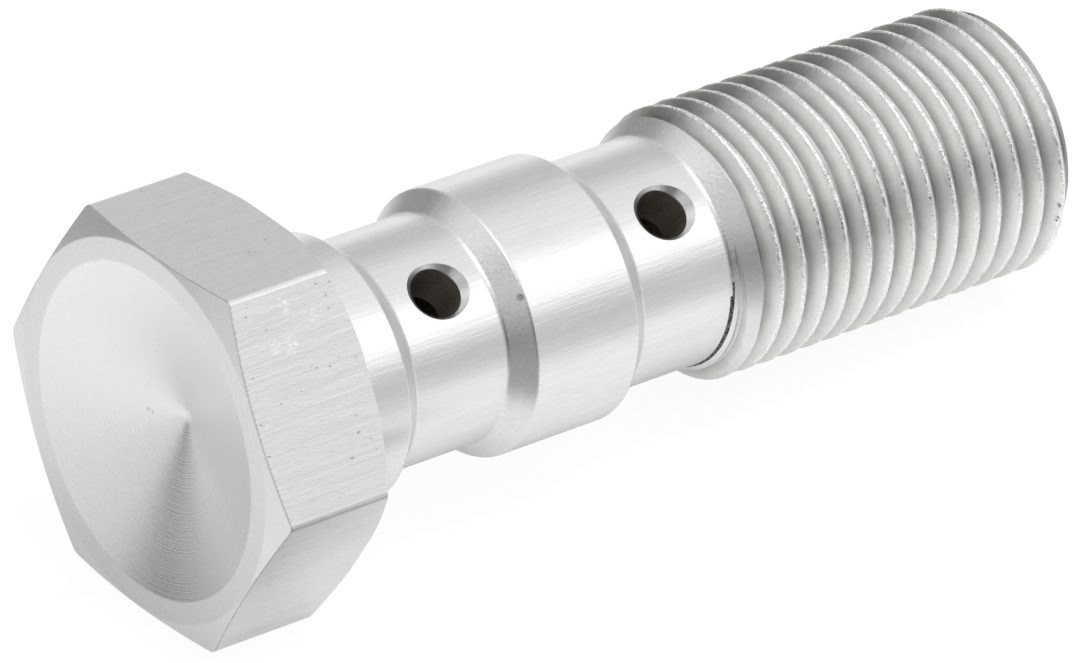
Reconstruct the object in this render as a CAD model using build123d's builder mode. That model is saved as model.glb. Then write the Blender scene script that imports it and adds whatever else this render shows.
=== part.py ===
from build123d import *
from math import atan2, cos, radians, sin, tan
import os

# A double banjo bolt turned and drilled from one hexagon bar, in millimetres.
# It holds two ring-shaped pipe fittings. Fluid enters at the thread end, runs up the
# oilway in the middle of the shank and leaves through a cross hole into each fitting.
# Places along the bolt are measured from the top of the head towards the thread end.

# Head
across_flats = 14.0
bar_corner_radius = 0.25
head_height = 5.0
top_rim_diameter = 13.95
top_chamfer_angle = 15.0
seat_rim_diameter = 14.2
seat_chamfer_angle = 30.0
recess_diameter = 12.3
recess_depth = 1.85
centre_mark_diameter = 0.7
centre_mark_depth = 0.15

# Shank: a land under the head, a waist, a middle land, a waist and the thread.
# Each waist's length takes in the slopes at both of its ends.
land_diameter = 9.85
waist_diameter = 8.45
slope_angle = 42.0
head_land_length = 2.85
middle_land_length = 4.45
waist_length = 5.6

# Thread: M10 x 1.0, right-hand, drawn as a cylinder at the diameter of its crests
thread_diameter = 10.0
thread_length = 14.5
end_chamfer = 0.5

# Oilway, drilled from the thread end, and the cross holes that meet it.
# The cross holes are turned about the bolt axis from the upper flat, and they sit
# a little nearer the thread than the middle of their waists.
oilway_diameter = 4.0
oilway_overrun = 0.7
oilway_mouth_chamfer = 0.3
drill_point_angle = 118.0
cross_hole_diameter = 2.0
cross_hole_mouth_diameter = 2.45
cross_hole_turn = 36.0
cross_hole_offset = 0.1

# Radii
head_radius = across_flats / 2
top_rim_radius = top_rim_diameter / 2
seat_rim_radius = seat_rim_diameter / 2
recess_radius = recess_diameter / 2
centre_mark_radius = centre_mark_diameter / 2
land_radius = land_diameter / 2
waist_radius = waist_diameter / 2
thread_radius = thread_diameter / 2
end_radius = thread_radius - end_chamfer
oilway_radius = oilway_diameter / 2
oilway_mouth_radius = oilway_radius + oilway_mouth_chamfer
cross_hole_radius = cross_hole_diameter / 2
cross_hole_mouth_radius = cross_hole_mouth_diameter / 2

# Places along the bolt
first_waist_start = head_height + head_land_length
first_waist_end = first_waist_start + waist_length
second_waist_start = first_waist_end + middle_land_length
second_waist_end = second_waist_start + waist_length
overall_length = second_waist_end + thread_length
thread_end = overall_length - end_chamfer
land_slope = (land_radius - waist_radius) / tan(radians(slope_angle))
thread_slope = (thread_radius - waist_radius) / tan(radians(slope_angle))
first_cross_hole = (first_waist_start + first_waist_end) / 2 + cross_hole_offset
second_cross_hole = (second_waist_start + second_waist_end) / 2 + cross_hole_offset
oilway_end = first_cross_hole - cross_hole_radius - oilway_overrun
drill_point_length = oilway_radius / tan(radians(drill_point_angle / 2))

# The two chamfer cones of the head, run on outwards, meet in a ring outside the bar.
top_cone_spread = 1 / tan(radians(top_chamfer_angle))
seat_cone_spread = 1 / tan(radians(seat_chamfer_angle))
rim_difference = seat_rim_radius - top_rim_radius
cone_ring_place = (rim_difference + head_height * seat_cone_spread) / (top_cone_spread + seat_cone_spread)
cone_ring_radius = top_rim_radius + cone_ring_place * top_cone_spread

# The bolt lies on the seat edge of one flat and on the last full turn of its thread,
# so its axis dips from the head towards the thread end by the resting angle.
resting_angle = atan2(head_radius - thread_radius, thread_end - head_height)
dip = sin(resting_angle)
run = cos(resting_angle)
top_height = head_height * dip + head_radius * run
back_end = -top_rim_radius * dip
front_end = overall_length * run + end_radius * dip
top_place = -(back_end + front_end) / 2

# The section plane holds the axis: its x runs along the bolt and its y points up from it.
section = Plane(
    origin=(top_place, 0, top_height),
    x_dir=(run, 0, -dip),
    z_dir=(0, -1, 0),
)
bolt_axis = Axis(section.origin, section.x_dir)

# The bar plane looks along the bolt from the top of the head. Its x points up, square to
# one flat, and its y to the near side.
bar_plane = Plane(origin=section.origin, x_dir=section.y_dir, z_dir=section.x_dir)

# Each cross hole has a mouth on both sides of its waist, with the z of its plane pointing out.
cross_hole_mouths = [
    bar_plane * Pos(Z=place) * Rot(Z=cross_hole_turn + side) * Pos(X=waist_radius) * Rot(Y=90)
    for place in (first_cross_hole, second_cross_hole)
    for side in (0, 180)
]

with BuildPart() as banjo_bolt:
    # Hexagon bar as long as the bolt, with a flat above and a flat below and drawn corners
    with BuildSketch(bar_plane):
        RegularPolygon(radius=head_radius, side_count=6, major_radius=False, rotation=30)
        fillet(vertices(), radius=bar_corner_radius)
    extrude(amount=overall_length)

    # Turned outline: both head chamfers, the lands, the waists, the thread and its end
    with BuildSketch(section):
        with BuildLine():
            Polyline(
                (0, 0),
                (0, top_rim_radius),
                (cone_ring_place, cone_ring_radius),
                (head_height, seat_rim_radius),
                (head_height, land_radius),
                (first_waist_start, land_radius),
                (first_waist_start + land_slope, waist_radius),
                (first_waist_end - land_slope, waist_radius),
                (first_waist_end, land_radius),
                (second_waist_start, land_radius),
                (second_waist_start + land_slope, waist_radius),
                (second_waist_end - thread_slope, waist_radius),
                (second_waist_end, thread_radius),
                (thread_end, thread_radius),
                (overall_length, end_radius),
                (overall_length, 0),
                close=True,
            )
        make_face()
    revolve(axis=bolt_axis, mode=Mode.INTERSECT)

    # Coned recess in the top of the head, with the centre mark of the turning at its bottom
    with BuildSketch(section):
        with BuildLine():
            Polyline(
                (0, 0),
                (0, recess_radius),
                (recess_depth, centre_mark_radius),
                (recess_depth + centre_mark_depth, 0),
                close=True,
            )
        make_face()
    revolve(axis=bolt_axis, mode=Mode.SUBTRACT)

    # Oilway from the thread end past the first cross hole, ending in a drill point
    with BuildSketch(section):
        with BuildLine():
            Polyline(
                (oilway_end - drill_point_length, 0),
                (oilway_end, oilway_radius),
                (overall_length - oilway_mouth_chamfer, oilway_radius),
                (overall_length, oilway_mouth_radius),
                (overall_length, 0),
                close=True,
            )
        make_face()
    revolve(axis=bolt_axis, mode=Mode.SUBTRACT)

    # Cross holes, drilled through both sides of each waist, with their edges broken
    with Locations(*cross_hole_mouths):
        CounterSinkHole(
            radius=cross_hole_radius,
            counter_sink_radius=cross_hole_mouth_radius,
            depth=waist_radius,
            counter_sink_angle=90,
        )

banjo_bolt.part.label = "banjo_bolt"
os.makedirs("parts", exist_ok=True)
export_step(banjo_bolt.part, "parts/banjo_bolt.step")

print("resting angle", resting_angle, "top of the head at", section.origin)
print("volume", banjo_bolt.part.volume, "box", banjo_bolt.part.bounding_box())
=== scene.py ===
# %% [markdown]
# # A double banjo bolt
#
# A banjo bolt is a hollow bolt that holds ring-shaped pipe fittings. Fluid runs up its
# middle and leaves through cross holes in its two waists, one for each fitting. This one is
# turned from a hexagon bar of bare aluminium.
#
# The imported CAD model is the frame. It already has the right size and place, but its thread
# is a plain cylinder, its edges are sharp and it has no finish. The whole bolt is one piece
# of metal, so one new mesh stands for it, made at the CAD's sizes, with a true thread.

# %% Load the frame
from math import atan2, cos, pi, radians, sin, tan

import bmesh
import bpy
from mathutils import Matrix, Vector


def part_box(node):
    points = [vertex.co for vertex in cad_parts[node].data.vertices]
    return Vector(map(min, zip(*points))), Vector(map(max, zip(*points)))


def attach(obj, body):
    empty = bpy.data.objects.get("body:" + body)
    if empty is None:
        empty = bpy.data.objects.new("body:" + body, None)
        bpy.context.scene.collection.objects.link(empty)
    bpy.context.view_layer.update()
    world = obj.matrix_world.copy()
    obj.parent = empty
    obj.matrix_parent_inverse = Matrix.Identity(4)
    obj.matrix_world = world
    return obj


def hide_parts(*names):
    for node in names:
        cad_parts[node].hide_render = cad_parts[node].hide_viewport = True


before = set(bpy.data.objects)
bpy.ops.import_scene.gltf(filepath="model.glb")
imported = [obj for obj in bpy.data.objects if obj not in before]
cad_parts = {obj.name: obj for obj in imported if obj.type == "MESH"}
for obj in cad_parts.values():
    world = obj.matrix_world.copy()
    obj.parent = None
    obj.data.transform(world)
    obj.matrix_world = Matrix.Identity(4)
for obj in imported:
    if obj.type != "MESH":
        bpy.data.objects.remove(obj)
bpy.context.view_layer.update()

NODE = "banjo_bolt"
lowest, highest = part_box(NODE)
print("the frame's box in mm:", [round(1000 * size, 2) for size in highest - lowest])

# %% [markdown]
# ## Sizes
#
# These are the driving sizes of the bolt in millimetres, the same as in the CAD. Places
# along the bolt are measured from the top of the head towards the thread end, and turns
# about its axis in degrees from the upper flat towards the near side. The mesh is modelled
# in millimetres with the bolt along X, because Blender's merge and cut tools work best on
# sizes near one, and at the end it is scaled to metres and laid down in the frame.

# %% Driving sizes
MM = 0.001
across_flats = 14.0
bar_corner_radius = 0.25
head_height = 5.0
top_rim_diameter = 13.95
top_chamfer_angle = 15.0
seat_rim_diameter = 14.2
seat_chamfer_angle = 30.0
recess_diameter = 12.3
recess_depth = 1.85
centre_mark_diameter = 0.7
centre_mark_depth = 0.15
land_diameter = 9.85
waist_diameter = 8.45
slope_angle = 42.0
head_land_length = 2.85
middle_land_length = 4.45
waist_length = 5.6
thread_diameter = 10.0
thread_pitch = 1.0
thread_length = 14.5
end_chamfer = 0.5
oilway_diameter = 4.0
oilway_overrun = 0.7
oilway_mouth_chamfer = 0.3
drill_point_angle = 118.0
cross_hole_diameter = 2.0
cross_hole_mouth_diameter = 2.45
cross_hole_turn = 36.0
cross_hole_offset = 0.1

# %% Radii and places along the bolt
head_radius = across_flats / 2
top_rim_radius = top_rim_diameter / 2
seat_rim_radius = seat_rim_diameter / 2
recess_radius = recess_diameter / 2
land_radius = land_diameter / 2
waist_radius = waist_diameter / 2
thread_radius = thread_diameter / 2
oilway_radius = oilway_diameter / 2
cross_hole_radius = cross_hole_diameter / 2
cross_hole_mouth_radius = cross_hole_mouth_diameter / 2
end_radius = thread_radius - end_chamfer

first_waist_start = head_height + head_land_length
first_waist_end = first_waist_start + waist_length
second_waist_start = first_waist_end + middle_land_length
second_waist_end = second_waist_start + waist_length
overall_length = second_waist_end + thread_length
thread_end = overall_length - end_chamfer
slope_tangent = tan(radians(slope_angle))
land_slope = (land_radius - waist_radius) / slope_tangent
thread_slope = (thread_radius - waist_radius) / slope_tangent
first_cross_hole = (first_waist_start + first_waist_end) / 2 + cross_hole_offset
second_cross_hole = (second_waist_start + second_waist_end) / 2 + cross_hole_offset
oilway_end = first_cross_hole - cross_hole_radius - oilway_overrun
drill_point_length = oilway_radius / tan(radians(drill_point_angle / 2))

top_cone_spread = 1 / tan(radians(top_chamfer_angle))
seat_cone_spread = 1 / tan(radians(seat_chamfer_angle))
cone_ring_place = (
    (seat_rim_radius - top_rim_radius + head_height * seat_cone_spread)
    / (top_cone_spread + seat_cone_spread)
)
cone_ring_radius = top_rim_radius + cone_ring_place * top_cone_spread
print("overall length", round(overall_length, 2), "mm")

# %% [markdown]
# ## Small helpers
#
# An operator acts on all that is selected, so each step first deselects everything and then
# selects faces, edges or vertices in code, by where they are.

# %% Helpers for selecting and cutting
TINY = 0.001  # mm; two points nearer than this are one point


def only(piece):
    """Selects this object alone and makes it active."""
    bpy.ops.object.select_all(action="DESELECT")
    piece.select_set(True)
    bpy.context.view_layer.objects.active = piece


def select(kind, test):
    """Selects and counts the VERT, EDGE or FACE elements that pass the test."""
    bpy.ops.mesh.select_mode(type=kind)
    bpy.ops.mesh.select_all(action="DESELECT")
    data = bpy.context.object.data
    mesh = bmesh.from_edit_mesh(data)
    elements = {"VERT": mesh.verts, "EDGE": mesh.edges, "FACE": mesh.faces}[kind]
    found = [element for element in elements if test(element)]
    for element in found:
        element.select_set(True)
    bmesh.update_edit_mesh(data)
    return len(found)


def off_axis(point):
    """Distance of a point from the bolt's axis, which is X while modelling."""
    return (point.y**2 + point.z**2) ** 0.5


def place_object(piece, place=(0, 0, 0), turn=(0, 0, 0), scale=1.0):
    """Turns, scales and moves a piece, then applies that to its mesh."""
    only(piece)
    piece.rotation_euler = turn
    piece.scale = (scale, scale, scale)
    piece.location = place
    bpy.ops.object.transform_apply(location=True, rotation=True, scale=True)


def combine(piece, tool, operation):
    """Joins, cuts or intersects the piece with a tool, and removes the tool."""
    only(piece)
    bpy.ops.object.modifier_add(type="BOOLEAN")
    modifier = piece.modifiers[-1]
    modifier.operation = operation
    modifier.solver = "EXACT"
    modifier.object = tool
    bpy.ops.object.modifier_apply(modifier=modifier.name)
    bpy.data.objects.remove(tool)
    print(operation.lower(), "left", len(piece.data.polygons), "faces")


# %% [markdown]
# ## The turned outline
#
# On a lathe every ring of the bolt is cut round one axis. Cylinders and cones could be
# joined for it, but their seams would leave stray faces. Here a circle is extruded along the
# axis and resized at each step. The outline starts at the bottom of the recess in the head,
# goes round the outside and comes back up the oilway to its drill point, so that one solid
# holds every turned surface, inside and out.
#
# Real edges are never quite sharp. The rings are rounded while the outline is still simple,
# because a bevel after the cuts would meet thousands of small faces of the thread.

# %% Turn a solid ring by ring
SIDES = 240


def turned(name, outline, sides=SIDES):
    """A solid turned about X. The outline lists (place, radius) from axis to axis."""
    first_place, first_radius = outline[1]
    bpy.ops.mesh.primitive_circle_add(
        vertices=sides, radius=first_radius, fill_type="TRIFAN", rotation=(0, pi / 2, 0)
    )
    piece = bpy.context.object
    piece.name = name
    place_object(piece, (first_place, 0, 0), piece.rotation_euler)
    bpy.ops.object.mode_set(mode="EDIT")
    select("VERT", lambda v: off_axis(v.co) < TINY)
    bpy.ops.transform.translate(value=(outline[0][0] - first_place, 0, 0))
    select("EDGE", lambda e: e.is_boundary)
    for (place, radius), (next_place, next_radius) in zip(outline[1:-2], outline[2:-1]):
        bpy.ops.mesh.extrude_region_move(
            TRANSFORM_OT_translate={"value": (next_place - place, 0, 0)}
        )
        growth = next_radius / radius
        bpy.ops.transform.resize(
            value=(1, growth, growth), center_override=(next_place, 0, 0)
        )
    bpy.ops.mesh.extrude_region_move(
        TRANSFORM_OT_translate={"value": (outline[-1][0] - outline[-2][0], 0, 0)}
    )
    bpy.ops.mesh.merge(type="CENTER")
    bpy.ops.mesh.select_all(action="SELECT")
    bpy.ops.mesh.normals_make_consistent(inside=False)
    bpy.ops.object.mode_set(mode="OBJECT")
    print(name, "turned from", len(outline), "places")
    return piece


def round_rings(piece, corners, size, steps):
    """Rounds the ring edges at these (place, radius) corners."""
    only(piece)
    bpy.ops.object.mode_set(mode="EDIT")

    def on_corner(edge):
        return any(
            all(
                abs(v.co.x - place) < TINY and abs(off_axis(v.co) - radius) < TINY
                for v in edge.verts
            )
            for place, radius in corners
        )

    found = select("EDGE", on_corner)
    bpy.ops.mesh.bevel(offset=size, offset_type="OFFSET", segments=steps, affect="EDGES")
    bpy.ops.object.mode_set(mode="OBJECT")
    print("rounded", found, "edges by", size, "mm")


# %% Turn the bolt's outline
# In the thread's length the outline stands a little outside the crests, so that only its
# start cone and end chamfer cut the thread.
rim_round = 0.04
edge_round = 0.05
land_round = 0.07
root_round = 0.12
thread_clearance = 0.06
clear_run = thread_clearance / slope_tangent
recess_corner = (0, recess_radius)
rim_corner = (0, top_rim_radius)
seat_corner = (head_height, seat_rim_radius)
seat_root = (head_height, land_radius)
head_land_end = (first_waist_start, land_radius)
first_waist_in = (first_waist_start + land_slope, waist_radius)
first_waist_out = (first_waist_end - land_slope, waist_radius)
middle_land_start = (first_waist_end, land_radius)
middle_land_end = (second_waist_start, land_radius)
second_waist_in = (second_waist_start + land_slope, waist_radius)
second_waist_out = (second_waist_end - thread_slope, waist_radius)
end_corner = (overall_length, end_radius)
oilway_mouth = (overall_length, oilway_radius + oilway_mouth_chamfer)

outline = turned(
    "turned_outline",
    [
        (recess_depth + centre_mark_depth, 0),
        (recess_depth, centre_mark_diameter / 2),
        recess_corner,
        rim_corner,
        (cone_ring_place, cone_ring_radius),
        seat_corner,
        seat_root,
        head_land_end,
        first_waist_in,
        first_waist_out,
        middle_land_start,
        middle_land_end,
        second_waist_in,
        second_waist_out,
        (second_waist_end + clear_run, thread_radius + thread_clearance),
        (thread_end - thread_clearance, thread_radius + thread_clearance),
        end_corner,
        oilway_mouth,
        (overall_length - oilway_mouth_chamfer, oilway_radius),
        (oilway_end, oilway_radius),
        (oilway_end - drill_point_length, 0),
    ],
)
round_rings(outline, [recess_corner, rim_corner], rim_round, 2)
round_rings(outline, [head_land_end, middle_land_start, middle_land_end], land_round, 3)
round_rings(outline, [seat_corner, end_corner, oilway_mouth], edge_round, 2)
round_rings(
    outline,
    [seat_root, first_waist_in, first_waist_out, second_waist_in, second_waist_out],
    root_round,
    3,
)

# %% [markdown]
# ## The hexagon bar
#
# The head keeps the flats of the bar that the bolt was turned from. The head could be made
# as a piece of its own, but as on the real bolt the bar runs on into the shank, and the
# outline cuts it down later. A drawn bar has slightly round corners, which catch a line of
# light between two flats, so its six long edges are bevelled. The bar ends inside the second
# waist, where the turned outline is thinner.

# %% Make the bar
BAR_START = -1.0
bar_end = second_waist_end - 2 * thread_slope
bpy.ops.object.select_all(action="DESELECT")
bpy.ops.mesh.primitive_cylinder_add(
    vertices=6,
    radius=head_radius / cos(pi / 6),
    depth=bar_end - BAR_START,
    rotation=(0, pi / 2, 0),
)
bar = bpy.context.object
bar.name = "hexagon_bar"
place_object(bar, ((bar_end + BAR_START) / 2, 0, 0), bar.rotation_euler)
bpy.ops.object.mode_set(mode="EDIT")
long_edges = select("EDGE", lambda e: abs(e.verts[0].co.x - e.verts[1].co.x) > TINY)
bpy.ops.mesh.bevel(
    offset=bar_corner_radius * tan(pi / 6),
    offset_type="OFFSET",
    segments=5,
    affect="EDGES",
)
bpy.ops.object.mode_set(mode="OBJECT")
print("rounded", long_edges, "long edges of the bar")

# %% [markdown]
# ## The thread
#
# A thread is one groove that winds round the bolt, so its section is the same everywhere.
# Relief in the finish could suggest it, but its crests stand out against the white table, so
# it needs its true form. It is modelled as that section, one pitch long, and a Screw
# modifier winds it up with one pitch of travel a turn. Blender turns counterclockwise about
# X while it travels along X, which gives a right-hand thread.
#
# A cut thread has slightly torn crests, so their points are shaken by a few hundredths of a
# millimetre. The ragged ends of the winding are sliced off square, which also closes them.

# %% Draw one pitch and wind it up
flank_lean = pi / 6
crest_curve = 0.14
root_curve = 0.13
crest_place = 25.117  # along the bolt, where a crest crosses the middle of the upper side
TURN_STEPS = 144
ARC_STEPS = 5


def arc(middle, radius, turn_from, turn_to):
    """Points on an arc in the section; the turn is measured from straight outwards."""
    x, r = middle
    turns = [turn_from + (turn_to - turn_from) * i / ARC_STEPS for i in range(ARC_STEPS + 1)]
    return [(x + radius * sin(turn), r + radius * cos(turn)) for turn in turns]


normal_turn = pi / 2 - flank_lean
crest_arc = arc((0, thread_radius - crest_curve), crest_curve, 0, normal_turn)
flank_start, flank_top = crest_arc[-1]
flank_run = thread_pitch / 2 - root_curve * sin(normal_turn) - flank_start
flank_bottom = flank_top - flank_run / tan(flank_lean)
root_middle = (thread_pitch / 2, flank_bottom + root_curve * cos(normal_turn))
root_arc = arc(root_middle, root_curve, pi + normal_turn, pi)
half_section = crest_arc + root_arc
section = [(-x, r) for x, r in reversed(half_section)] + half_section[1:]
thread_depth = thread_radius - half_section[-1][1]
turns_before = 4
rod_turns = 19
first_crest = crest_place - turns_before * thread_pitch

bpy.ops.object.select_all(action="DESELECT")
bpy.ops.mesh.primitive_plane_add(size=1)
rod = bpy.context.object
rod.name = "thread_rod"
place_object(rod, (first_crest + section[0][0], 0, section[0][1]))
bpy.ops.object.mode_set(mode="EDIT")
select("VERT", lambda v: True)
bpy.ops.mesh.merge(type="CENTER")
for (x, r), (next_x, next_r) in zip(section, section[1:]):
    bpy.ops.mesh.extrude_region_move(
        TRANSFORM_OT_translate={"value": (next_x - x, 0, next_r - r)}
    )
bpy.ops.object.mode_set(mode="OBJECT")
bpy.ops.object.modifier_add(type="SCREW")
winding = rod.modifiers[-1]
winding.axis = "X"
winding.angle = 2 * pi
winding.screw_offset = thread_pitch
winding.iterations = rod_turns
winding.steps = TURN_STEPS
winding.render_steps = TURN_STEPS
bpy.ops.object.modifier_apply(modifier=winding.name)
print("thread", round(thread_depth, 3), "mm deep,", len(section), "points wound", rod_turns, "turns")

# %% Shake the crests and slice the rod's ends square
ROD_OVERLAP = 0.3
ROD_OVERHANG = 1.0
crest_burr_depth = 0.035
crest_burr_size = 0.02
bpy.ops.object.mode_set(mode="EDIT")
bpy.ops.mesh.select_all(action="SELECT")
bpy.ops.mesh.remove_doubles(threshold=TINY)
crest_band = thread_radius - crest_burr_depth
burred = select("VERT", lambda v: off_axis(v.co) > crest_band)
bpy.ops.transform.vertex_random(offset=crest_burr_size, uniform=0.3, seed=3)
print("shook", burred, "points of the crests")
for end, keep_side in ((bar_end - ROD_OVERLAP, 1), (overall_length + ROD_OVERHANG, -1)):
    bpy.ops.mesh.select_all(action="SELECT")
    bpy.ops.mesh.bisect(
        plane_co=(end, 0, 0),
        plane_no=(keep_side, 0, 0),
        clear_inner=True,
        use_fill=True,
    )
bpy.ops.mesh.select_all(action="SELECT")
bpy.ops.mesh.normals_make_consistent(inside=False)
bpy.ops.object.mode_set(mode="OBJECT")
print("threaded rod of", len(rod.data.polygons), "faces")

# %% [markdown]
# ## Cutting the bolt from its blank
#
# The blank is the hexagon bar with the threaded rod on its end. Where the blank and the
# turned outline overlap, there is the bolt. The bows where the chamfers cross the flats, the
# run-out of the thread into the waist and its last turn at the end chamfer are hard to draw
# by hand, and in this way they come out as they do in metal.

# %% Intersect the blank and the outline
combine(bar, rod, "UNION")
combine(outline, bar, "INTERSECT")
bolt = outline
bolt.name = "banjo_bolt_metal"

# %% [markdown]
# ## Cross holes
#
# Each waist has a hole drilled through both of its walls into the oilway. The mouths are
# countersunk, and because the waist is round, the countersink is wide along the bolt and thin
# across it. A bevel round a plain hole would be equally wide all round, so the cutter is the
# drill and both countersinks in one turned solid. It has a slightly thinner neck just inside
# each countersink, which leaves the small pale burr there.

# %% Drill the cross holes
HOLE_SIDES = 96
mouth_reach = 0.5
mouth_depth = cross_hole_mouth_radius - cross_hole_radius
mouth_burr = 0.06
neck_round = 0.03
neck_radius = cross_hole_radius - mouth_burr
neck = waist_radius - mouth_depth - mouth_burr
shoulder = neck - 2 * mouth_burr
far = waist_radius + mouth_reach
wide = cross_hole_mouth_radius + mouth_reach
for place in (first_cross_hole, second_cross_hole):
    drill = turned(
        "cross_drill",
        [
            (-far, 0),
            (-far, wide),
            (-neck, neck_radius),
            (-shoulder, cross_hole_radius),
            (shoulder, cross_hole_radius),
            (neck, neck_radius),
            (far, wide),
            (far, 0),
        ],
        HOLE_SIDES,
    )
    round_rings(drill, [(-neck, neck_radius), (neck, neck_radius)], neck_round, 2)
    place_object(drill, turn=(0, -pi / 2, 0))
    place_object(drill, (place, 0, 0), (radians(cross_hole_turn), 0, 0))
    combine(bolt, drill, "DIFFERENCE")

# %% [markdown]
# ## Ragged gap
#
# Where the thread's start cone meets the second waist, the tool left a torn lip on the near
# side, below the middle. It shows as a thin black gap. A dark line in the finish would have
# soft, even edges, so the gap is cut. Its cutter is a thin wire, bent to a wider bow than
# the waist, so that it dips into the metal in the middle and comes out again towards both
# ends. Its points are shaken a little to make it ragged.

# %% Cut the gap
WIRE_SIDES = 10
WIRE_STEPS = 60
gap_past_corner = 0.04
gap_above_waist = 0.01
gap_middle = 117.0
gap_reach = 25.0
gap_bow = 4.9
gap_half_width = 0.045
gap_raggedness = 0.03
gap_place = second_waist_out[0] + gap_past_corner
gap_floor = waist_radius + gap_above_waist
bow_offset = gap_bow - gap_floor
gap_direction = Vector((0, -sin(radians(gap_middle)), cos(radians(gap_middle))))
bow_centre = Vector((gap_place, 0, 0)) - gap_direction * bow_offset
bpy.ops.object.select_all(action="DESELECT")
bpy.ops.mesh.primitive_circle_add(
    vertices=WIRE_SIDES, radius=gap_half_width, fill_type="NGON", rotation=(pi / 2, 0, 0)
)
wire = bpy.context.object
wire.name = "gap_wire"
place_object(wire, (0, 0, gap_bow), wire.rotation_euler)
place_object(wire, bow_centre, (radians(gap_middle - gap_reach), 0, 0))
bpy.ops.object.mode_set(mode="EDIT")
bpy.ops.mesh.select_all(action="SELECT")
bpy.ops.mesh.spin(
    steps=WIRE_STEPS, angle=radians(2 * gap_reach), center=bow_centre, axis=(1, 0, 0)
)
bpy.ops.mesh.select_all(action="SELECT")
bpy.ops.transform.vertex_random(offset=gap_raggedness, uniform=0.2, seed=5)
bpy.ops.mesh.normals_make_consistent(inside=False)
bpy.ops.object.mode_set(mode="OBJECT")
combine(bolt, wire, "DIFFERENCE")


def in_gap(point):
    """True on the wall of the ragged gap."""
    arm = point - bow_centre
    out_of_bow = off_axis(arm) - gap_bow
    return (arm.x**2 + out_of_bow**2) ** 0.5 < gap_half_width + gap_raggedness


# %% [markdown]
# ## Clean mesh and smooth shading
#
# Cutting leaves a few points on top of each other. They are merged, and the bolt is shaded
# smooth except at its sharp edges. Weighted normals keep the large faces flat and let the
# small round edges carry all of the turn.

# %% Clean and shade
only(bolt)
bpy.ops.object.mode_set(mode="EDIT")
bpy.ops.mesh.select_all(action="SELECT")
bpy.ops.mesh.remove_doubles(threshold=TINY / 4)
bpy.ops.mesh.dissolve_degenerate(threshold=TINY / 4)
open_edges = select("EDGE", lambda e: not e.is_manifold)
bpy.ops.mesh.select_all(action="SELECT")
bpy.ops.mesh.normals_make_consistent(inside=False)
bpy.ops.object.mode_set(mode="OBJECT")
print("edges that aren't closed:", open_edges)

smooth_angle = 35.0
bpy.ops.object.shade_smooth_by_angle(angle=radians(smooth_angle))
bpy.ops.object.modifier_add(type="WEIGHTED_NORMAL")
bolt.modifiers[-1].keep_sharp = True
bpy.ops.object.modifier_apply(modifier=bolt.modifiers[-1].name)
triangles = sum(len(face.vertices) - 2 for face in bolt.data.polygons)
print("bolt mesh:", triangles, "triangles")

# %% [markdown]
# ## Shader maths
#
# A material is a formula over the surface. One small class wraps a node's output so that the
# formula can be written with + - * and so on, and each sign adds its Math node.

# %% A class for shader formulas
class Shade:
    """The output of a shader node, for use in formulas."""

    def __init__(self, tree, socket):
        self.tree = tree
        self.socket = socket

    def node(self, kind, inputs, output=0, **settings):
        """Adds a node: its settings first, then its inputs' values or links."""
        made = self.tree.nodes.new(kind)
        for name, value in settings.items():
            setattr(made, name, value)
        for name, value in inputs.items():
            if isinstance(value, Shade):
                self.tree.links.new(value.socket, made.inputs[name])
            else:
                made.inputs[name].default_value = value
        return Shade(self.tree, made.outputs[output])

    def maths(self, operation, first, second=0.0, clamp=False):
        return self.node(
            "ShaderNodeMath", {0: first, 1: second}, operation=operation, use_clamp=clamp
        )

    def __add__(self, other):
        return self.maths("ADD", self, other)

    __radd__ = __add__

    def __mul__(self, other):
        return self.maths("MULTIPLY", self, other)

    __rmul__ = __mul__

    def __sub__(self, other):
        return self.maths("SUBTRACT", self, other)

    def __rsub__(self, other):
        return self.maths("SUBTRACT", other, self)

    def clamped(self):
        return self.maths("ADD", self, 0.0, clamp=True)

    def between(self, low, high):
        """0 where this is below low, 1 above high, smooth between."""
        return self.node(
            "ShaderNodeMapRange",
            {"Value": self, "From Min": low, "From Max": high},
            interpolation_type="SMOOTHSTEP",
        )

    def mixed(self, dark, light):
        """A colour between two, with this as the share of the second one."""
        return self.node(
            "ShaderNodeMix",
            {"Factor": self, "A": dark, "B": light},
            output="Result",
            data_type="RGBA",
        )


# %% [markdown]
# ## Where a finish is on the bolt
#
# The bolt lies on the seat edge of a flat and on its thread, so its axis dips a little
# towards the thread end. The frame's origin is on the floor under the middle of its box. A
# finish follows the bolt and not the floor, so each material first works out where the
# shaded point is on the bolt, in millimetres from the head and off the axis.

# %% The bolt's place and helpers for finishes
resting_angle = atan2(head_radius - thread_radius, thread_end - head_height)
top_height = head_height * sin(resting_angle) + head_radius * cos(resting_angle)
back_end = -top_rim_radius * sin(resting_angle)
front_end = overall_length * cos(resting_angle) + end_radius * sin(resting_angle)
head_top = Vector((-(back_end + front_end) / 2, 0, top_height))
to_bolt = Matrix.Rotation(-resting_angle, 3, "Y")
print("the middle of the head's top is at", [round(v, 3) for v in head_top], "mm")


def start(name):
    """A new material: its node tree, its shader and the place on the bolt in mm."""
    material = bpy.data.materials.new(name)
    material.use_nodes = True
    tree = material.node_tree
    shader = tree.nodes["Principled BSDF"]
    source = Shade(tree, None)
    local = source.node(
        "ShaderNodeMapping",
        {
            "Vector": source.node("ShaderNodeTexCoord", {}, output="Object"),
            "Location": -(to_bolt @ head_top),
            "Rotation": (0, -resting_angle, 0),
            "Scale": (1 / MM, 1 / MM, 1 / MM),
        },
        vector_type="POINT",
    )
    return material, tree, shader, local


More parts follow.
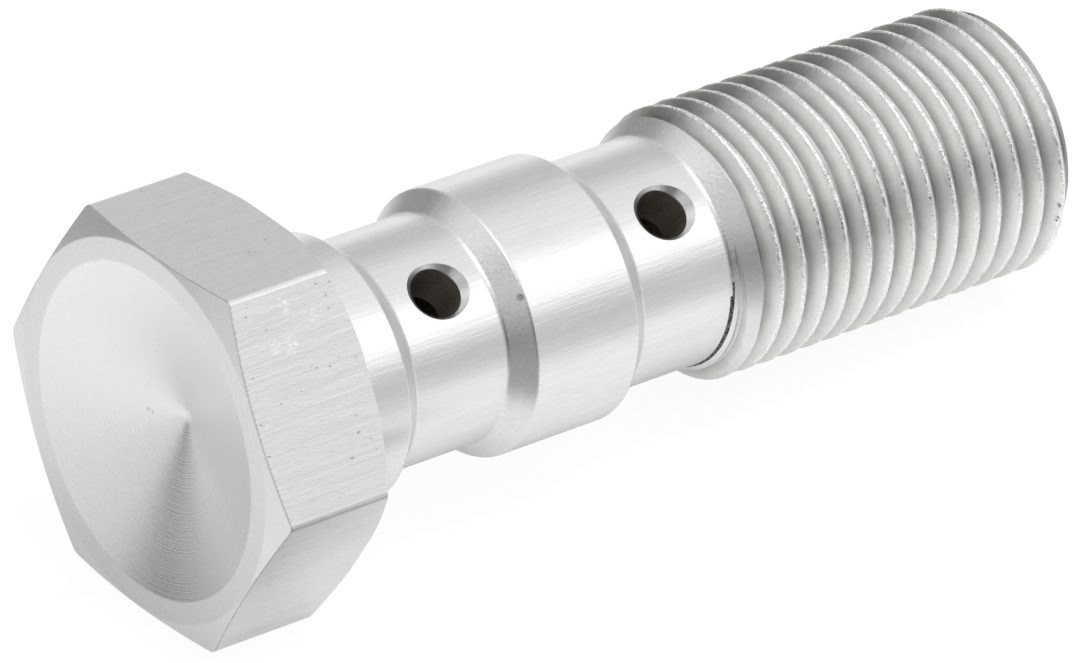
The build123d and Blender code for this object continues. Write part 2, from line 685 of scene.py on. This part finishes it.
def distance_off_axis(place):
    """The distance in mm of the shaded point from the bolt's axis."""
    return place.node(
        "ShaderNodeVectorMath",
        {
            0: place.node(
                "ShaderNodeVectorMath", {0: place, 1: (0, 1, 1)}, operation="MULTIPLY"
            )
        },
        output="Value",
        operation="LENGTH",
    )


def ring_noise(radius, scale):
    """Noise that changes with the radius only, like the fine rings that turning leaves."""
    return radius.node(
        "ShaderNodeTexNoise",
        {"W": radius * scale, "Scale": 1.0, "Detail": 1.0},
        noise_dimensions="1D",
    )


def spot(place, along, turn, off, size):
    """1 within this size in mm of one point, fading to 0 at twice the size. The point is
    given by its place along the bolt, its turn about the axis and its distance off it."""
    middle = Vector((along, -off * sin(radians(turn)), off * cos(radians(turn))))
    distance = place.node(
        "ShaderNodeVectorMath", {0: place, 1: middle}, output="Value", operation="DISTANCE"
    )
    return 1 - distance.between(size, 2 * size)


def noise(place, stretch, detail=3.0, roughness=0.55, seed=0.0):
    """Noise with a scale in repeats a millimetre along the bolt and across it."""
    along, across = stretch
    moved = place.node(
        "ShaderNodeMapping",
        {"Vector": place, "Location": (seed, seed, seed), "Scale": (along, across, across)},
        vector_type="POINT",
    )
    return place.node(
        "ShaderNodeTexNoise",
        {"Vector": moved, "Scale": 1.0, "Detail": detail, "Roughness": roughness},
    )


def set_metal(tree, shader, colour, roughness, height, depth):
    """Links a colour, a roughness and a bump height in mm to the shader."""
    tree.links.new(colour.socket, shader.inputs["Base Color"])
    tree.links.new(roughness.socket, shader.inputs["Roughness"])
    bump = height.node(
        "ShaderNodeBump", {"Height": height, "Strength": 1.0, "Distance": depth * MM}
    )
    tree.links.new(bump.socket, shader.inputs["Normal"])
    shader.inputs["Metallic"].default_value = 1.0


# %% [markdown]
# ## Finishes
#
# Every finish is bare aluminium, so they are all metallic and differ in colour, roughness
# and relief. Noise gives what is alike all over. The single scratches, smudges and pits of
# the near side would never fall in the right places by noise, so each is a spot with its own
# place, as the photograph shows it.

# %% Single marks on the near side
# Each mark is (place along the bolt, turn about its axis, distance off its axis, size).
FLAT_SCRATCHES = [
    (2.42, 34.3, 7.77, 0.2),
    (1.64, 43.6, 7.3, 0.16),
    (2.26, 44.1, 7.28, 0.22),
    (3.48, 38.9, 7.5, 0.15),
]
FLAT_SMUDGES = [
    (2.98, 13.9, 7.21, 0.14),
    (2.59, -8.6, 7.08, 0.05),
    (3.94, 10.5, 7.12, 0.05),
    (1.46, 38.3, 7.54, 0.05),
]
THREAD_PITS = [
    (24.05, 116.4, 4.9, 0.1),
    (37.16, 94.1, 5.0, 0.1),
    (37.25, 101.0, 4.95, 0.08),
    (31.28, 69.8, 4.95, 0.05),
]
SLOPE_PITS = [(13.37, 52.2, 4.78, 0.09)]
RECESS_MARKS = [(1.43, -102.9, 1.67, 0.05), (1.5, -106.0, 1.5, 0.04)]
all_marks = FLAT_SCRATCHES + FLAT_SMUDGES + THREAD_PITS + SLOPE_PITS + RECESS_MARKS
print("single marks:", len(all_marks))

# %% [markdown]
# ## Drawn bar
#
# The bar was pulled through a die, which leaves faint streaks along it and small dark pits.
# Where the lathe cut the top chamfer across the flats, the flats are coloured darker along
# their edge. The streaks are noise stretched along the bolt. The darker edge is a band that
# follows the chamfer's cone, so it bows with the edge of each flat, as the dark line on the
# real bolt does.

# %% Drawn bar
# a darker colour for the pits, the smudges and the band along the chamfer's edge
DARK_TONE = (0.3, 0.29, 0.28, 1)


def drawn_bar():
    material, tree, shader, local = start("drawn_bar")
    streaks = noise(local, (0.35, 5.0), 5.0)
    grain = noise(local, (4.0, 14.0), 4.0, seed=3.0)
    pits = noise(local, (3.5, 6.0), 2.0, 0.4, seed=11.0).between(0.71, 0.78)
    along = local.node("ShaderNodeSeparateXYZ", {"Vector": local}, output="X")
    chamfer_rise = (distance_off_axis(local) - top_rim_radius) * tan(radians(top_chamfer_angle))
    # a darker band of colour along the chamfer's edge over the flats
    chamfer_edge_band = 1 - (along - chamfer_rise + 0.12 * grain - 0.06).between(0.03, 0.11)
    tone = (0.5 * streaks + 0.5 * grain).between(0.35, 0.65)
    plain = tone.mixed((0.71, 0.715, 0.71, 1), (0.78, 0.785, 0.775, 1))
    scratches = sum(spot(local, *mark) for mark in FLAT_SCRATCHES)
    smudges = sum(spot(local, *mark) for mark in FLAT_SMUDGES)
    flecks = noise(local, (5.0, 11.0), 3.0, seed=15.0).between(0.5, 0.58)
    scratched = (scratches * flecks).clamped().mixed(plain, (0.9, 0.9, 0.89, 1))
    edged = (0.55 * chamfer_edge_band).mixed(scratched, DARK_TONE)
    colour = (0.6 * pits + 0.45 * smudges * flecks).clamped().mixed(edged, DARK_TONE)
    set_metal(tree, shader, colour, 0.34 + 0.12 * grain, streaks + 0.5 * grain - pits, 0.01)
    return material


# %% [markdown]
# ## Turned metal
#
# The shank is turned and then tumbled, so it is brighter than the bar and its streaks are
# finer. They are noise again, with little relief, because deep relief would break up the
# bright band that runs along the shank.

# %% Turned metal
def turned_metal():
    material, tree, shader, local = start("turned_metal")
    streaks = noise(local, (0.5, 9.0), 5.0, seed=5.0)
    grain = noise(local, (6.0, 18.0), 3.0, seed=7.0)
    tone = (0.6 * streaks + 0.4 * grain).between(0.35, 0.65)
    pits = sum(spot(local, *mark) for mark in SLOPE_PITS) * grain.between(0.35, 0.5)
    plain = tone.mixed((0.72, 0.725, 0.72, 1), (0.79, 0.79, 0.785, 1))
    colour = (0.8 * pits).mixed(plain, (0.2, 0.2, 0.19, 1))
    set_metal(tree, shader, colour, 0.24 + 0.14 * grain, streaks + 0.4 * grain, 0.008)
    return material


# %% [markdown]
# ## Matt recess
#
# The recess is turned too, and its rings show as fine lines in the dark wedge. They are
# noise of the distance from the axis alone, which gives closed rings without modelling any,
# with a fine grain over them.

# %% Matt recess
def matt_recess():
    material, tree, shader, local = start("matt_recess")
    grain = noise(local, (14.0, 14.0), 4.0, 0.7, seed=2.0)
    rings = ring_noise(distance_off_axis(local), 22.0)
    plain = grain.between(0.3, 0.7).mixed((0.78, 0.785, 0.775, 1), (0.84, 0.84, 0.83, 1))
    marks = sum(spot(local, *mark) for mark in RECESS_MARKS)
    colour = (0.4 * marks).mixed(plain, (0.3, 0.3, 0.3, 1))
    set_metal(tree, shader, colour, 0.18 + 0.08 * grain, rings + 0.6 * grain, 0.006)
    return material


# %% [markdown]
# ## Thread metal
#
# The roots of the thread are painted darker as painted shade, and its flanks are painted
# paler towards the crests as painted light. A broken bright line runs along each crest as a
# painted highlight. All of that depends on how deep a point lies in the thread, so the
# distance from the axis drives it.

# %% Thread metal
root_shade_radius = 4.36
crest_light_radius = 4.98
crest_line_radius = 4.9


def thread_metal():
    material, tree, shader, local = start("thread_metal")
    radius = distance_off_axis(local)
    grain = noise(local, (5.0, 5.0), 4.0, 0.6, seed=9.0)
    patches = noise(local, (1.6, 1.6), 3.0, seed=6.0)
    # painted shade in the roots and painted light towards the crests: the colour changes with depth
    # in the thread
    painted_light_share = (radius + 0.12 * patches - 0.06).between(root_shade_radius, crest_light_radius)
    crest = (radius - 0.03 * patches).between(crest_line_radius, thread_radius)
    painted_root_shade = patches.mixed((0.47, 0.47, 0.455, 1), (0.59, 0.59, 0.575, 1))
    painted_crest_light = grain.between(0.3, 0.7).mixed((0.84, 0.835, 0.815, 1), (0.89, 0.885, 0.865, 1))
    flank = painted_light_share.mixed(painted_root_shade, painted_crest_light)
    pits = sum(spot(local, *mark) for mark in THREAD_PITS) * grain.between(0.4, 0.55)
    pitted = pits.mixed(flank, (0.1, 0.1, 0.09, 1))
    # painted highlight: a broken bright line of colour along the crests
    painted_glints = crest * noise(local, (7.0, 7.0), 2.0, seed=12.0).between(0.45, 0.62)
    colour = painted_glints.mixed(pitted, (0.96, 0.955, 0.94, 1))
    relief = 2.0 * patches + 0.5 * grain + 3.0 * painted_glints
    set_metal(tree, shader, colour, 0.28 + 0.1 * grain - 0.1 * painted_glints, relief, 0.006)
    return material


# %% [markdown]
# ## Bores and gap
#
# Little light reaches the walls of the holes, which are dull and a little brown, and their
# colour is painted darker as painted shade. The walls of the gap are painted near-black as
# painted shade. Both are rough, so that they don't mirror the room.

# %% Bore metal with painted shade
def bore_painted_shade():
    material, tree, shader, local = start("bore_painted_shade")
    grain = noise(local, (8.0, 8.0), 3.0, seed=4.0)
    # painted shade: the walls are coloured darker than the bolt's other metal
    colour = grain.between(0.3, 0.7).mixed((0.42, 0.39, 0.34, 1), (0.55, 0.51, 0.45, 1))
    set_metal(tree, shader, colour, 0.5 + 0.1 * grain, grain, 0.01)
    return material


# %% Painted shade in the gap
def gap_painted_shade():
    material, tree, shader, local = start("gap_painted_shade")
    grain = noise(local, (12.0, 12.0), 2.0, seed=8.0)
    # painted shade: near-black colour on the walls of the gap
    colour = grain.between(0.35, 0.65).mixed((0.03, 0.03, 0.03, 1), (0.3, 0.3, 0.29, 1))
    set_metal(tree, shader, colour, 0.7 + 0.1 * grain, grain, 0.004)
    return material


# %% [markdown]
# ## A finish for each face
#
# All finishes sit on one mesh, and each face gets the one that its place and the way it
# faces call for. That still holds when a driving size changes, where face numbers wouldn't.

# %% Give each face its finish
finishes = [
    turned_metal(),
    drawn_bar(),
    matt_recess(),
    thread_metal(),
    bore_painted_shade(),
    gap_painted_shade(),
]
TURNED, DRAWN, RECESS, THREAD, BORE, GAP = range(len(finishes))
bolt.data.materials.clear()
for finish in finishes:
    bolt.data.materials.append(finish)

hole_direction = Vector((0, -sin(radians(cross_hole_turn)), cos(radians(cross_hole_turn))))


def in_cross_hole(point):
    """True on the straight wall of a cross hole."""
    for place in (first_cross_hole, second_cross_hole):
        arm = point - Vector((place, 0, 0))
        depth = arm.dot(hole_direction)
        across = arm - depth * hole_direction
        if across.length < cross_hole_radius + TINY and abs(depth) < shoulder:
            return True
    return False


def alike(first, second):
    """True when two parts of a normal are so near that the faces point the same way."""
    return abs(first - second) < 0.02


def finish_of(centre, normal):
    """Which finish a face has, by its place and the way it faces."""
    if in_gap(centre):
        return GAP
    out = off_axis(centre)
    outward = (normal.y * centre.y + normal.z * centre.z) / max(out, TINY)
    faces_out = outward > 0.5
    near_axis = out < oilway_radius + oilway_mouth_chamfer and centre.x > head_height
    if near_axis and not faces_out and centre.x < overall_length - TINY:
        return BORE
    if out < waist_radius and in_cross_hole(centre) and abs(outward) < 0.9:
        return BORE
    if centre.x < recess_depth + 1 and out < recess_radius - rim_round:
        return RECESS
    if centre.x < head_height and alike(normal.x, 0) and out > recess_radius:
        return DRAWN
    cone_lean = -sin(radians(slope_angle))
    on_start_cone = centre.x < second_waist_end and alike(normal.x, cone_lean)
    on_end_chamfer = normal.x > 0.6 and centre.x > thread_end - thread_clearance
    if on_start_cone or on_end_chamfer:
        return TURNED
    past_waist = centre.x > second_waist_out[0] + root_round
    if past_waist and out > waist_radius + edge_round:
        return THREAD
    return TURNED


counts = [0] * len(finishes)
for face in bolt.data.polygons:
    face.material_index = finish_of(face.center, face.normal)
    counts[face.material_index] += 1
print("faces by finish:", dict(zip([f.name for f in finishes], counts)))

# %% [markdown]
# ## Into the frame
#
# The finished bolt is scaled to metres and laid down as the CAD node lies. It rides on the
# one body of the frame and stands for the CAD node, whose solid stays for collision.

# %% Place the bolt
place_object(bolt, head_top * MM, (0, resting_angle, 0), MM)
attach(bolt, "root")
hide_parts(NODE)

# %% [markdown]
# ## Studio
#
# Bare metal shows what stands round it, so most of the studio is there to be mirrored: a
# glossy white table, a pale room with lighter and darker patches, and four grey cards.
#
# The table glows a little, so that it is white to the camera and still keeps the bolt's
# faint shadow. For the metal it glows only where it is seen steeply. Where it is seen at a
# slant, its coat mirrors the room, and that gives the dark wedge in the recess.

# %% Floor
FLOOR_SIZE = 3.0
bpy.ops.object.select_all(action="DESELECT")
bpy.ops.mesh.primitive_plane_add(size=FLOOR_SIZE)
floor = bpy.context.object
floor.name = "floor"
floor_material = bpy.data.materials.new("floor_white")
floor_material.use_nodes = True
floor_tree = floor_material.node_tree
floor_shader = floor_tree.nodes["Principled BSDF"]
floor_shader.inputs["Base Color"].default_value = (0.76, 0.76, 0.76, 1)
floor_shader.inputs["Roughness"].default_value = 0.2
floor_shader.inputs["Coat Weight"].default_value = 1.0
floor_shader.inputs["Coat Roughness"].default_value = 0.1
floor_shader.inputs["Coat IOR"].default_value = 1.6
camera_glow = 0.9
metal_glow = 0.66
floor_source = Shade(floor_tree, None)
glow = floor_source.node("ShaderNodeEmission", {"Color": (1, 1, 1, 1), "Strength": 1.04})
to_camera = floor_source.node("ShaderNodeLightPath", {}, output="Is Camera Ray")
to_metal = floor_source.node("ShaderNodeLightPath", {}, output="Is Glossy Ray")
to_glass = floor_source.node("ShaderNodeLightPath", {}, output="Is Transmission Ray")
slant = floor_source.node("ShaderNodeLayerWeight", {"Blend": 0.5}, output="Facing")
steepness = 1 - slant
floor_mix = floor_source.node(
    "ShaderNodeMixShader",
    {
        0: (
            camera_glow * to_camera
            + metal_glow * to_metal * steepness * steepness
            + camera_glow * to_glass
        ),
        1: Shade(floor_tree, floor_shader.outputs[0]),
        2: glow,
    },
)
floor_tree.links.new(
    floor_mix.socket, floor_tree.nodes["Material Output"].inputs["Surface"]
)
floor.data.materials.append(floor_material)
print("the table is", FLOOR_SIZE, "m wide")

# %% [markdown]
# ## Room
#
# The room is the light of the world. Walls and boxes of light could be modelled, but soft
# round patches on an even grey give the same soft changes along the metal and are easier to
# place. Each has a direction, a spread and how much lighter or darker than the walls it is.

# %% Pale room
def towards(azimuth, elevation):
    """The direction from the bolt at this angle from +X and above the floor."""
    across = radians(azimuth)
    up = radians(elevation)
    return Vector((cos(across) * cos(up), sin(across) * cos(up), sin(up)))


world = bpy.data.worlds.new("pale_room")
bpy.context.scene.world = world
world.use_nodes = True
room_source = Shade(world.node_tree, None)
look = room_source.node("ShaderNodeTexCoord", {}, output="Generated")


def patch(azimuth, elevation, spread, amount):
    """A soft round patch of the room that is lighter or darker by this amount."""
    nearness = room_source.node(
        "ShaderNodeVectorMath",
        {0: look, 1: towards(azimuth, elevation)},
        output="Value",
        operation="DOT_PRODUCT",
    )
    return amount * nearness.between(cos(radians(spread)), 1.0)


room_level = 0.72
room = (
    room_level
    + patch(-45, 33, 25, 0.93)  # soft box over the near side
    + patch(-57, 0, 14, -0.13)  # grey gap under the soft box
    + patch(-4, 59, 40, 0.3)  # wide soft box above the thread end
    + patch(47, 27, 16, -0.12)  # faint grey beyond the thread end
    + patch(57, -4, 18, 0.55)  # pale wall at the thread end
    + patch(152, 45, 30, 0.2)  # pale wall behind the head
    + patch(-150, 72, 36, 0.95)  # ceiling lamp over the head's side
    + patch(-114, 4, 38, -0.66)  # dark room behind the camera
    + patch(100, 4, 40, -0.44)  # dark wall beyond the bolt
    + patch(122, 8, 27, -0.6)  # its darkest part, behind the head
    + patch(-150, -2, 21, -0.6)  # dark wall in front of the head
    + patch(178, 47, 20, -0.42)  # grey above the head, for the tops of the slopes
    + patch(-163, 43, 14, -0.32)  # the same a little nearer the camera
    + patch(-141, 10, 14, 0.35)  # paler spot in front of the head, for the near slopes
    + patch(97, 14, 13, 0.22)  # paler spot in the dark wall beyond the bolt
)
darkest_wall = 0.06
room_light = world.node_tree.nodes["Background"]
room_light.inputs["Color"].default_value = (1, 1, 1, 1)
room = room.maths("MAXIMUM", room, darkest_wall)
world.node_tree.links.new(room.socket, room_light.inputs["Strength"])
print("the room's walls are", room_level, "of white and never under", darkest_wall)


# %% [markdown]
# ## Lamp and cards
#
# One lamp lights the table alone and gives the bolt's shadow its direction. The facets and
# slopes that look down mirror the table, and some of them are grey in the photograph, so
# four grey cards lie flat on it that only reflections see.

# %% Lamp over the table and cards on it
LAMP_DISTANCE = 0.5
CARD_LENGTH = 300
CARD_HEIGHT = 0.05


def table_lamp(name, azimuth, elevation, wide, share):
    """A lamp for the table alone. It gives this share of the light of an even white sky."""
    side = 2 * LAMP_DISTANCE * tan(radians(wide / 2))
    solid_angle = (side / LAMP_DISTANCE) ** 2
    radiance = share * pi / (solid_angle * sin(radians(elevation)))
    light = bpy.data.lights.new(name, "AREA")
    light.shape = "SQUARE"
    light.size = side
    light.energy = radiance * pi * side**2
    lamp = bpy.data.objects.new(name, light)
    bpy.context.scene.collection.objects.link(lamp)
    direction = towards(azimuth, elevation)
    lamp.location = direction * LAMP_DISTANCE
    lamp.rotation_euler = direction.to_track_quat("Z", "Y").to_euler()
    lamp.visible_camera = False
    lamp.visible_glossy = False
    print(name, "of", round(light.energy, 2), "W")


def card(name, near_ends, grey):
    """A grey card flat on the table. Each end of its near edge is (x, y, azimuth) in mm and
    degrees, where the azimuth is the way that the card's side runs from there."""
    sides = []
    for x, y, azimuth in near_ends:
        near = Vector((x, y, CARD_HEIGHT))
        far = near + towards(azimuth, 0) * CARD_LENGTH
        sides.append((near * MM, far * MM))
    (near_first, far_first), (near_second, far_second) = sides
    mesh = bpy.data.meshes.new(name)
    mesh.from_pydata([near_first, near_second, far_second, far_first], [], [(0, 1, 2, 3)])
    board = bpy.data.objects.new(name, mesh)
    bpy.context.scene.collection.objects.link(board)
    material = bpy.data.materials.new(name)
    material.use_nodes = True
    shader = material.node_tree.nodes["Principled BSDF"]
    shader.inputs["Base Color"].default_value = (0, 0, 0, 1)
    shader.inputs["Emission Color"].default_value = (grey, grey, grey, 1)
    shader.inputs["Emission Strength"].default_value = 1.0
    shader.inputs["Specular IOR Level"].default_value = 0.0
    board.data.materials.append(material)
    board.visible_camera = False
    board.visible_diffuse = False
    board.visible_shadow = False
    print(name, "with a grey of", grey)


table_lamp("table_lamp", -45, 62, 34, 0.62)
card("left_card", [(-46, 30, 142), (-14, 36, 78)], 0.44)
card("front_left_card", [(-17, -6.5, -168), (-3, -12.5, -130)], 0.42)
card("front_card", [(-11, -26, -125), (5, -28, -105)], 0.28)
card("front_right_card", [(6, -27, -76), (13, -16, -31)], 0.74)

# %% [markdown]
# ## Camera
#
# The place, the direction and the focal length were found by fitting the bolt's edges to the
# photograph. It is a long lens far away, so the bolt shows almost no perspective.

# %% Camera
camera_azimuth = -38.132
camera_elevation = 32.459
camera_roll = 0.09
camera_target = Vector((-3.87, -3.0, 7.0)) * MM
camera_distance = 0.42
lens_length = 400.46
across = radians(camera_azimuth)
up = radians(camera_elevation)
backward = Vector((sin(across) * cos(up), -cos(across) * cos(up), sin(up)))
camera_data = bpy.data.cameras.new("camera")
camera = bpy.data.objects.new("camera", camera_data)
bpy.context.scene.collection.objects.link(camera)
bpy.context.scene.camera = camera
camera_data.lens = lens_length
camera_data.sensor_width = 36.0
camera_data.clip_start = 0.01
camera_data.clip_end = 10.0
camera.location = camera_target + backward * camera_distance
aim = (-backward).to_track_quat("-Z", "Y").to_matrix()
camera.rotation_euler = (aim @ Matrix.Rotation(radians(camera_roll), 3, "Z")).to_euler()
print("camera at", [round(v, 4) for v in camera.location], "m with a lens of", lens_length, "mm")

# %% View settings
bpy.context.scene.view_settings.view_transform = "Standard"
